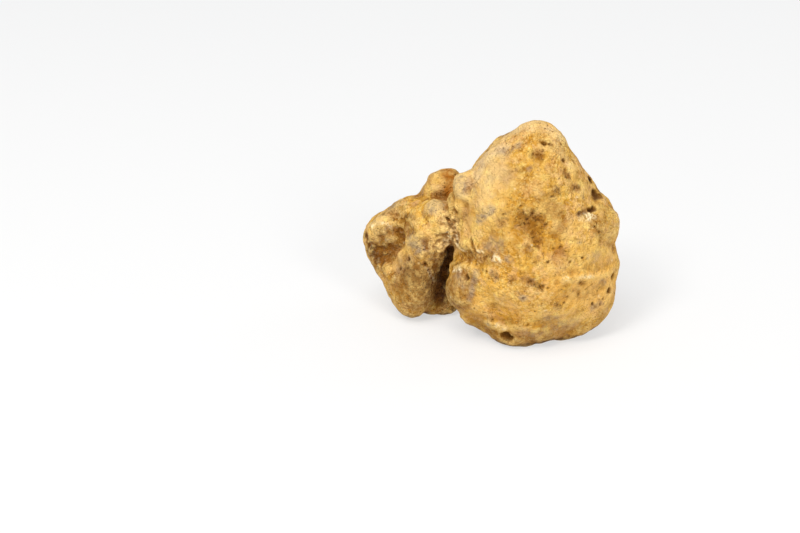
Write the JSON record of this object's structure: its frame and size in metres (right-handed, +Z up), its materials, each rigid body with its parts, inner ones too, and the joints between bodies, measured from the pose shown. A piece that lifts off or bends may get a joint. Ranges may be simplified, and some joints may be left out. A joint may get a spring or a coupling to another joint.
{
  "type": "white truffle",
  "caption": "Whole white truffle: a knobbly ochre underground mushroom with a tall main lobe, a smaller side lobe and an earthy cleft between them, lying on its own small flats.",
  "frame": {"origin": "on the surface that the truffle rests on, below the middle of its bounding box", "axes": "+X to the right seen from the front, +Y towards the back, +Z up"},
  "size_m": [0.0808, 0.0502, 0.0697],
  "materials": {
    "rind": "matt, dry rind with fine grain, pores, scars and caked earth"
  },
  "bodies": {
    "root": {"truffle": "rind"}
  },
  "joints": []
}
